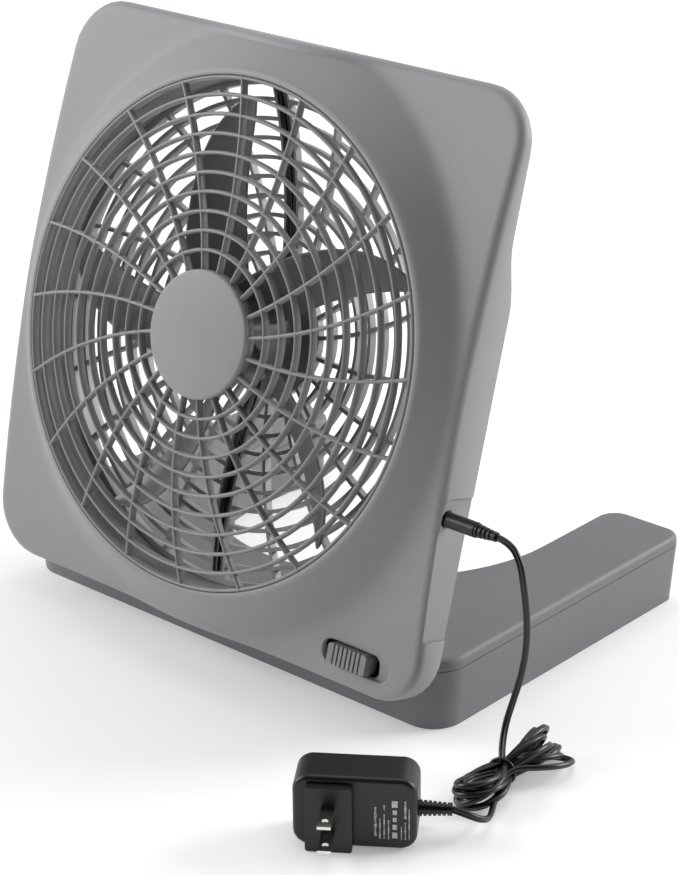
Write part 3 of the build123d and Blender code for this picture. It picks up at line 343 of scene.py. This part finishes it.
# the two cores side by side give the lead its waisted section
section_curve = bpy.data.curves.new("lead_section", "CURVE")
section_spline = section_curve.splines.new("POLY")
SECTION_POINTS = 18
WAIST_DEPTH, WAIST_W = 0.45, 0.13     # share of half the thickness, share of the width
section_spline.points.add(SECTION_POINTS - 1)
for i, point in enumerate(section_spline.points):
    x = LEAD_W / 2 * cos(2 * pi * i / SECTION_POINTS)
    waist = 1 - WAIST_DEPTH * exp(-(x / (WAIST_W * LEAD_W)) ** 2)
    side = 1 if i < SECTION_POINTS / 2 else -1
    point.co = (x, LEAD_T / 2 * waist * abs(sin(2 * pi * i / SECTION_POINTS)) ** 0.7 * side, 0.0, 1.0)
section_spline.use_cyclic_u = True
section = bpy.data.objects.new("lead_section", section_curve)
bpy.context.collection.objects.link(section)
route.bevel_mode = "OBJECT"
route.bevel_object = section
route.use_fill_caps = True
bpy.ops.object.select_all(action="DESELECT")
lead.select_set(True)
bpy.context.view_layer.objects.active = lead
bpy.ops.object.convert(target="MESH")
bpy.ops.object.shade_smooth_by_angle(angle=radians(40))
bpy.data.objects.remove(section)
lead.data.materials.clear()
lead.data.materials.append(FINISHES["cord"])

# the tie, a soft wire in black film round the middle of the hank
bpy.ops.object.select_all(action="DESELECT")
bpy.ops.mesh.primitive_torus_add(major_radius=TIE_R, minor_radius=TIE_WIRE_R, major_segments=48,
                                 minor_segments=10, location=TIE, rotation=(radians(90), 0.0, radians(14)))
tie = bpy.context.object
tie.name = "lead_tie"
bpy.ops.object.transform_apply()
bpy.ops.object.shade_smooth()
tie.data.materials.append(FINISHES["black_plastic"])
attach(tie, "base")

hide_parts("lead_drop", "lead_hank", "lead_tail")
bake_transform(lead)

# ---------------------------------------------------------------- front housing
# One ABS moulding: a bowed face with a soft bezel that rises to the rim of the air opening,
# rounded edges, side walls with a ramp, and a recess for the switch. Its free-form face
# is laid out ring by ring, from the opening to the outline.
fan_joint = next(joint for joint in frame["joints"] if joint["name"] == "fan_spin")
RIGHT = Vector((1.0, 0.0, 0.0))
FRONT = Vector(fan_joint["axis"]).normalized()
UP = FRONT.cross(RIGHT)
FAN = Matrix.Translation(Vector(fan_joint["pos_m"])) @ Matrix((RIGHT, UP, FRONT)).transposed().to_4x4()
AXIS_V = 0.1555
HEAD_HALF_W = 0.153
HEAD_HALF_H = 0.154
HEAD_MIDDLE_Y = HEAD_HALF_H - AXIS_V
HEAD_CORNER = 0.028
EDGE_R = 0.0045
WALL = 0.0024
BOW = 0.0114
OPENING_R = 0.131
RIM_FRONT = 0.025
BEZEL_SLOPE = 1.13
BEZEL_START = 0.1342
BEZEL_BLEND, RIM_BLEND = 0.0034, 0.0014     # how softly the bezel meets the face and the rim
DUCT_BACK = -0.0030
RIM_TURN = 0.0012           # how far the rim's front edge stands outside the opening
WALL_BACK = -0.0135         # rear edge of the side walls below their ramp
RAMP_START, RAMP_LENGTH, RAMP_RISE = 0.202, 0.036, 0.0085
ROUND = 240
FACE_RINGS = 30


def soft_max(a, b, width):
    """The larger of two heights, with a rounded change from one to the other."""
    return (a + b + sqrt((a - b) ** 2 + width ** 2)) / 2


def face_height(x, y):
    """Front of the housing at a point of the fan's plane."""
    bow = BOW * (1 - ((y - HEAD_MIDDLE_Y) / HEAD_HALF_H) ** 2)
    bezel = RIM_FRONT - BEZEL_SLOPE * (sqrt(x * x + y * y) - BEZEL_START)
    return -soft_max(-soft_max(bow, bezel, BEZEL_BLEND), -RIM_FRONT, RIM_BLEND)


def wall_back(y):
    """Rear edge of the side walls: a ramp makes them shallower near the top."""
    share = min(max((y + AXIS_V - RAMP_START) / RAMP_LENGTH, 0.0), 1.0)
    return WALL_BACK + RAMP_RISE * share * share * (3 - 2 * share)


def outline(angle, inset):
    """Point of the head's outline, drawn in by inset, in one direction from the fan's axis."""
    near, far = 0.05, 0.25
    for _ in range(32):
        r = (near + far) / 2
        dx = abs(r * cos(angle)) - HEAD_HALF_W + HEAD_CORNER
        dy = abs(r * sin(angle) - HEAD_MIDDLE_Y) - HEAD_HALF_H + HEAD_CORNER
        outside = sqrt(max(dx, 0) ** 2 + max(dy, 0) ** 2) + min(max(dx, dy), 0) - HEAD_CORNER + inset
        near, far = (near, r) if outside > 0 else (r, far)
    return near * cos(angle), near * sin(angle)


def mesh_piece(name, points, faces, place, finish):
    mesh = bpy.data.meshes.new(name)
    mesh.from_pydata([place @ Vector(point) for point in points], [], faces)
    mesh.materials.append(finish)
    piece = bpy.data.objects.new(name, mesh)
    bpy.context.collection.objects.link(piece)
    return piece


def choose(piece):
    bpy.ops.object.select_all(action="DESELECT")
    piece.select_set(True)
    bpy.context.view_layer.objects.active = piece


def cut(piece, cutter):
    choose(piece)
    tool = piece.modifiers.new("cut", "BOOLEAN")
    tool.operation = "DIFFERENCE"
    tool.object = cutter
    bpy.ops.object.modifier_apply(modifier=tool.name)
    bpy.data.objects.remove(cutter)


def outer_top(angle):
    return face_height(*outline(angle, EDGE_R))


angles = [2 * pi * i / ROUND for i in range(ROUND)]


def rim_ring(r, f):
    return [(r * cos(a), r * sin(a), f) for a in angles]


def face_ring(rim_r, share, lift):
    """Ring of the face, from the rim where share is 0 to the outline where it is 1, and raised."""
    ring = []
    for a in angles:
        x, y = outline(a, EDGE_R)
        x = rim_r * cos(a) * (1 - share) + x * share
        y = rim_r * sin(a) * (1 - share) + y * share
        ring.append((x, y, face_height(x, y) + lift))
    return ring


# up the duct, over the rim and the face, round the edge, down the wall, and back inside
rings = [rim_ring(OPENING_R, DUCT_BACK), rim_ring(OPENING_R, 0.008), rim_ring(OPENING_R, 0.0238),
         rim_ring(OPENING_R + 0.0004, 0.0246)]
rings += [face_ring(OPENING_R + RIM_TURN, (step / FACE_RINGS) ** 1.25, 0.0)
          for step in range(FACE_RINGS + 1)]
for turn in (18, 36, 54, 72, 90):
    inset, drop = EDGE_R * (1 - sin(radians(turn))), EDGE_R * (1 - cos(radians(turn)))
    rings.append([(*outline(a, inset), outer_top(a) - drop) for a in angles])
for inset, lift in ((0.0, 0.0006), (0.0002, 0.0002), (0.0006, 0.0), (WALL, 0.0)):
    ring = []
    for a in angles:
        x, y = outline(a, inset)
        ring.append((x, y, wall_back(y) + lift))
    rings.append(ring)
rings.append([(*outline(a, WALL), outer_top(a) - EDGE_R - 0.001) for a in angles])
rings += [face_ring(OPENING_R + WALL, share, -WALL) for share in (0.95, 0.7, 0.4, 0.2, 0.0)]
rings.append(rim_ring(OPENING_R + WALL, DUCT_BACK))
shell_points = [point for ring in rings for point in ring]
shell_faces = []
for j in range(len(rings)):
    for i in range(ROUND):
        a, b = j * ROUND, (j + 1) % len(rings) * ROUND
        shell_faces.append((a + i, a + (i + 1) % ROUND, b + (i + 1) % ROUND, b + i))
housing = mesh_piece("front_housing_shell", shell_points, shell_faces, FAN, FINISHES["housing"])
choose(housing)
bpy.ops.object.mode_set(mode="EDIT")
bpy.ops.mesh.select_all(action="SELECT")
bpy.ops.mesh.normals_make_consistent(inside=False)
bpy.ops.object.mode_set(mode="OBJECT")


def slotted(length, height, corner, grow, count=12):
    """Outline of a rounded rectangle about the origin, grown all round."""
    points = []
    r = corner + grow
    for quarter, (sx, sy) in enumerate(((1, 1), (-1, 1), (-1, -1), (1, -1))):
        x, y = sx * (length / 2 - corner), sy * (height / 2 - corner)
        for i in range(count):
            a = pi / 2 * (quarter + i / (count - 1))
            points.append((x + r * cos(a), y + r * sin(a)))
    return points


def lofted(name, layers, place, finish):
    """Closed solid through layers, each (outline, height) with as many points as the others."""
    count = len(layers[0][0])
    points = [(x, y, height) for shape, height in layers for x, y in shape]
    faces = [tuple(range(count))[::-1], tuple(range((len(layers) - 1) * count, len(layers) * count))]
    for j in range(len(layers) - 1):
        for i in range(count):
            a, b, k = j * count, (j + 1) * count, (i + 1) % count
            faces.append((a + i, a + k, b + k, b + i))
    return mesh_piece(name, points, faces, place, finish)


def recessed(layers, place):
    """Cut the solid through these layers out of the housing."""
    cut(housing, lofted("cutter", layers, place, FINISHES["housing"]))


# the switch's recess, the pocket that its knob slides in, the sunk patch in the right wall and
# the hole for the jack in it, each with its length, height and corner
SWITCH_X, SWITCH_Y = 0.1092, 0.016 - AXIS_V
RECESS = (0.043, 0.0128, 0.00639)
RECESS_SHIFT = 0.0034
POCKET = (0.0356, 0.0121, 0.0045)
PATCH = (0.073, 0.060, 0.005)
PATCH_MIDDLE = (0.0745 - AXIS_V, -0.022, 0.0)
JACK_HOLE = (0.0092, 0.0092, 0.00459)
JACK_MIDDLE = (0.1006 - AXIS_V, 0.0032, 0.0)
WALL_X = 0.152
SLOPE_STEP = 0.004
switch_f = face_height(SWITCH_X, SWITCH_Y)
rise = face_height(SWITCH_X, SWITCH_Y + SLOPE_STEP) - face_height(SWITCH_X, SWITCH_Y - SLOPE_STEP)
lean = atan2(rise, 2 * SLOPE_STEP)
switch_place = FAN @ Matrix.Translation((SWITCH_X, SWITCH_Y, switch_f)) @ Matrix.Rotation(lean, 4, "X")
recessed([(slotted(*RECESS, grow), height) for grow, height in (
    (0.0, -0.0017), (0.0, -0.0010), (0.0002, -0.0005), (0.0007, -0.0001), (0.0011, 0.0), (0.0011, 0.003))],
    switch_place @ Matrix.Translation((RECESS_SHIFT, 0.0, 0.0)))
recessed([(slotted(*POCKET, grow), height) for grow, height in (
    (0.0, -0.009), (0.0, -0.0022), (0.0003, -0.0016), (0.0003, 0.001))], switch_place)
# on the right wall, x runs up the wall, y forward and z outward
wall_axes = Matrix(((0, 0, 1, 0), (1, 0, 0, 0), (0, 1, 0, 0), (0, 0, 0, 1)))
wall_place = FAN @ Matrix.Translation((WALL_X, 0.0, 0.0)) @ wall_axes
recessed([(slotted(*PATCH, 0.0), height) for height in (0.0, 0.004)],
         wall_place @ Matrix.Translation(PATCH_MIDDLE))
recessed([(slotted(*JACK_HOLE, 0.0), height) for height in (-0.004, 0.004)],
         wall_place @ Matrix.Translation(JACK_MIDDLE))
choose(housing)
bpy.ops.object.shade_smooth_by_angle(angle=radians(32))
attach(housing, "head")
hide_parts("front_housing")

# ---------------------------------------------------------------- front grille
# A moulded basket of nine rings and twenty spokes that curve back towards the hub, each a
# thin deep bar with a rounded front, all on one shallow dome.
HUB_R = 0.033
RINGS = 9
RING_PITCH = 0.0098
BAR_W = 0.0021
BAR_DEPTH = 0.0045
DOME_RISE = 0.009
SPOKES = 20
SPOKE_RIM_ANGLE = 4.2
SPOKE_SWEEP = 12.0


def dome(r):
    """Front of the bars at a radius: a shallow spherical cap."""
    ball = (OPENING_R ** 2 + DOME_RISE ** 2) / (2 * DOME_RISE)
    return RIM_FRONT + sqrt(ball ** 2 - r ** 2) - ball + DOME_RISE


def bar_section(width, depth):
    """A bar's section: parallel sides, a well rounded front and a slightly rounded back."""
    points = []
    for a in range(0, 181, 30):
        points.append((width / 2 * cos(radians(a)), depth / 2 - width * 0.75 * (1 - sin(radians(a)))))
    for x, y in ((-1, -0.75), (-0.7, -1), (0.7, -1), (1, -0.75)):
        points.append((x * width * 0.44, y * depth / 2))
    curve = bpy.data.curves.new("bar_section", "CURVE")
    spline = curve.splines.new("POLY")
    spline.points.add(len(points) - 1)
    for point, (x, y) in zip(spline.points, points):
        point.co = (x, y, 0.0, 1.0)
    spline.use_cyclic_u = True
    holder = bpy.data.objects.new("bar_section", curve)
    bpy.context.collection.objects.link(holder)
    return holder


def basket(name, lines, section, finish):
    """Bars of one section along several lines, each (points, closed), upright on the fan's axis."""
    curve = bpy.data.curves.new(name, "CURVE")
    curve.dimensions = "3D"
    curve.twist_mode = "Z_UP"
    for points, closed in lines:
        line = curve.splines.new("POLY")
        line.points.add(len(points) - 1)
        for point, place in zip(line.points, points):
            point.co = (*place, 1.0)
        line.use_cyclic_u = closed
    curve.bevel_mode = "OBJECT"
    curve.bevel_object = section
    curve.use_fill_caps = True
    piece = bpy.data.objects.new(name, curve)
    bpy.context.collection.objects.link(piece)
    choose(piece)
    bpy.ops.object.convert(target="MESH")
    piece.data.transform(FAN)
    piece.data.materials.clear()
    piece.data.materials.append(finish)
    choose(piece)
    bpy.ops.object.shade_smooth_by_angle(angle=radians(50))
    return piece


def round_line(r, f, count=120):
    return [(r * cos(2 * pi * i / count), r * sin(2 * pi * i / count), f) for i in range(count)], True


def spoke_line(rim_angle, inner_r, outer_r, height, steps=16):
    points = []
    for i in range(steps + 1):
        r = inner_r + (outer_r - inner_r) * i / steps
        a = radians(rim_angle - SPOKE_SWEEP * (OPENING_R - r) / (OPENING_R - HUB_R))
        points.append((r * cos(a), r * sin(a), height(r)))
    return points, False


def bar_middle(r):
    return dome(r) - BAR_DEPTH / 2


ring_radii = [HUB_R + RING_PITCH * (i + 1) for i in range(RINGS)]
bar_lines = [round_line(r, bar_middle(r)) for r in ring_radii]
bar_lines.append(round_line(OPENING_R - 0.0010, bar_middle(OPENING_R)))
bar_lines.append(round_line(HUB_R - 0.0012, bar_middle(HUB_R) - 0.0012))
bar_lines += [spoke_line(SPOKE_RIM_ANGLE + 360 / SPOKES * i, HUB_R - 0.002, OPENING_R - 0.0004, bar_middle)
              for i in range(SPOKES)]
section = bar_section(BAR_W, BAR_DEPTH)
grille = basket("front_grille_bars", bar_lines, section, FINISHES["grille"])
bpy.data.objects.remove(section)
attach(grille, "head")
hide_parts("front_grille")

# the plate behind the hub cap, moulded with the basket
bpy.ops.object.select_all(action="DESELECT")
bpy.ops.mesh.primitive_cylinder_add(vertices=96, radius=HUB_R - 0.0006, depth=0.0030)
plate = bpy.context.object
plate.name = "front_grille_plate"
bpy.ops.object.mode_set(mode="EDIT")
bpy.ops.mesh.bevel(offset=0.0006, segments=2, affect="EDGES")
bpy.ops.object.mode_set(mode="OBJECT")
plate.data.transform(FAN @ Matrix.Translation((0.0, 0.0, dome(HUB_R) - 0.0029)))
plate.data.materials.append(FINISHES["grille"])
bpy.ops.object.shade_smooth_by_angle(angle=radians(40))
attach(plate, "head")

# ---------------------------------------------------------------- hub cap
# A plain round disc, slightly domed and with a rolled edge, pressed into the basket's middle.
CAP_STEPS = 96
CAP_INNER_R = 0.020
CAP_DOME = 0.0012
cap_low, cap_high = dome(HUB_R) - 0.0012, dome(HUB_R) + 0.0015
cap_profile = [(CAP_INNER_R, cap_low), (HUB_R, cap_low), (HUB_R, cap_high - 0.0011),
               (HUB_R - 0.0002, cap_high - 0.0005), (HUB_R - 0.0007, cap_high - 0.0001),
               (HUB_R - 0.0015, cap_high)]
cap_profile += [(HUB_R * share, cap_high + CAP_DOME * (1 - share * share))
                for share in (0.85, 0.65, 0.45, 0.25, 0.1)]
cap_angles = [2 * pi * i / CAP_STEPS for i in range(CAP_STEPS)]
cap_layers = [([(r * cos(a), r * sin(a)) for a in cap_angles], f) for r, f in cap_profile]
cap = lofted("hub_disc", cap_layers, FAN, FINISHES["housing"])
choose(cap)
bpy.ops.object.shade_smooth_by_angle(angle=radians(40))
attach(cap, "head")
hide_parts("hub_cap")

# ---------------------------------------------------------------- impeller
# Five thin swept blades and their hub cup, moulded in one in smoky grey. The leading edge of
# each blade lies to the rear, and its tip runs forward to a point.
BLADES = 5
TIP_ANGLE = 24.0
BLADE_T = 0.0016
BLADE_MIDDLE = 0.0095       # the blades' middle, in front of the fan's plane
CAMBER = 0.09               # share of the chord
CUP_R = 0.025
CUP_BACK, CUP_FRONT = -0.003, 0.0245
CUP_WALL = 0.0018
CUP_HOLLOW = 0.0255
# radius, chord, pitch in degrees, and the angle by which the middle trails the tip
STATIONS = [(0.0235, 0.034, 48.0, 30.0), (0.042, 0.034, 42.0, 22.0), (0.062, 0.032, 36.0, 17.0),
            (0.083, 0.029, 31.0, 12.0), (0.101, 0.024, 28.0, 7.5), (0.112, 0.017, 26.0, 4.0),
            (0.119, 0.009, 25.0, 1.5), (0.1215, 0.003, 25.0, 0.3)]
CHORD_STEPS = 10
impeller_points, impeller_faces = [], []
for blade in range(BLADES):
    first = len(impeller_points)
    for r, chord, pitch, trail in STATIONS:
        for i in range(CHORD_STEPS + 1):
            s = 2 * i / CHORD_STEPS - 1
            turn = radians(TIP_ANGLE + 360 / BLADES * blade + trail)
            turn += s * chord / 2 * cos(radians(pitch)) / r
            f = BLADE_MIDDLE + s * chord / 2 * sin(radians(pitch)) - CAMBER * chord * (1 - s * s)
            impeller_points.append((r * cos(turn), r * sin(turn), f))
    for j in range(len(STATIONS) - 1):
        for i in range(CHORD_STEPS):
            a = first + j * (CHORD_STEPS + 1) + i
            impeller_faces.append((a, a + 1, a + CHORD_STEPS + 2, a + CHORD_STEPS + 1))
blades = mesh_piece("impeller_blades", impeller_points, impeller_faces, FAN, FINISHES["blade"])
choose(blades)
thicken = blades.modifiers.new("thicken", "SOLIDIFY")
thicken.thickness = BLADE_T
thicken.offset = 0.0
bpy.ops.object.modifier_apply(modifier=thicken.name)
smooth = blades.modifiers.new("smooth", "SUBSURF")
smooth.levels = smooth.render_levels = 2
bpy.ops.object.modifier_apply(modifier=smooth.name)
bpy.ops.object.shade_smooth()
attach(blades, "rotor")

# the cup that the blades grow from, open at the rear
bpy.ops.object.select_all(action="DESELECT")
bpy.ops.mesh.primitive_cylinder_add(vertices=96, radius=CUP_R, depth=CUP_FRONT - CUP_BACK)
cup = bpy.context.object
cup.name = "impeller_cup"
bpy.ops.object.mode_set(mode="EDIT")
bpy.ops.mesh.select_all(action="DESELECT")
bpy.ops.object.mode_set(mode="OBJECT")
for face in cup.data.polygons:
    face.select = face.normal.z < -0.5
bpy.ops.object.mode_set(mode="EDIT")
bpy.ops.mesh.inset(thickness=CUP_WALL)
bpy.ops.mesh.extrude_region_move(TRANSFORM_OT_translate={"value": (0.0, 0.0, CUP_HOLLOW)})
bpy.ops.mesh.select_all(action="DESELECT")
bpy.ops.object.mode_set(mode="OBJECT")
top = max(vertex.co.z for vertex in cup.data.vertices)
for edge in cup.data.edges:
    edge.select = all(cup.data.vertices[v].co.z > top - 0.0001 for v in edge.vertices)
bpy.ops.object.mode_set(mode="EDIT")
bpy.ops.mesh.bevel(offset=0.0025, segments=5, affect="EDGES")
bpy.ops.object.mode_set(mode="OBJECT")
cup.data.transform(FAN @ Matrix.Translation((0.0, 0.0, (CUP_FRONT + CUP_BACK) / 2)))
cup.data.materials.append(FINISHES["blade"])
bpy.ops.object.shade_smooth_by_angle(angle=radians(40))
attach(cup, "rotor")
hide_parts("impeller")

# ---------------------------------------------------------------- adapter label
# White print on the case's front: plain bars of uneven length stand for the lines of the
# rating label, and plain blocks for its marks. Each is a thin film of ink.
LABEL_PLACE = Matrix.Translation((0.1875, -0.1888, 0.0))
LABEL_TURN = Matrix.Rotation(radians(35.5), 4, "Z") @ Matrix.Rotation(pi / 2, 4, "X")
INK_T = 0.00012
ink = Finish("label_ink")
worn = ink.noise(1500.0, 3.0)
ink.shade(Base_Color=ink.mix(worn.between(0.35, 0.5), (0.30, 0.30, 0.31, 1.0), (0.72, 0.72, 0.73, 1.0)),
          Roughness=0.55)
# place along the case, lower end, upper end and width of each line of print
PRINT_LINES = [(0.0082, 0.0070, 0.0226, 0.0013), (0.0103, 0.0056, 0.0166, 0.0008),
               (0.0123, 0.0056, 0.0190, 0.0008), (0.0123, 0.0208, 0.0238, 0.0008),
               (0.0143, 0.0056, 0.0158, 0.0008), (0.0203, 0.0056, 0.0128, 0.0007),
               (0.0221, 0.0056, 0.0150, 0.0007), (0.0221, 0.0168, 0.0262, 0.0014),
               (0.0239, 0.0056, 0.0222, 0.0007)]
PATCH_PITCH = 0.0011
# place along the case, height and size of each block
PRINT_MARKS = [(0.0172, 0.0078, 0.0030), (0.0172, 0.0122, 0.0026), (0.0172, 0.0162, 0.0022),
               (0.0172, 0.0200, 0.0024), (0.0172, 0.0244, 0.0034)]
print_points, print_faces = [], []


def print_patch(x, y, w, h):
    """A thin block of ink with its middle at a point of the label."""
    first = len(print_points)
    print_points.extend((x + i * w / 2, y + j * h / 2, k * INK_T) for k in (0, 1)
                        for i, j in ((-1, -1), (1, -1), (1, 1), (-1, 1)))
    for face in ((3, 2, 1, 0), (4, 5, 6, 7), (0, 1, 5, 4), (1, 2, 6, 5), (2, 3, 7, 6), (3, 0, 4, 7)):
        print_faces.append(tuple(first + i for i in face))


for x, low, high, width in PRINT_LINES:
    patches = max(3, round((high - low) / PATCH_PITCH))
    pitch = (high - low) / patches
    for i in range(patches):
        uneven = 0.75 + 0.25 * sin(5.0 * i + 900 * x)
        print_patch(x, low + pitch * (i + 0.5), width * uneven, pitch * 0.72)
for x, y, size in PRINT_MARKS:
    print_patch(x, y, 0.8 * size, size)
label = mesh_piece("adapter_print", print_points, print_faces, LABEL_PLACE @ LABEL_TURN, ink.material)
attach(label, "base")
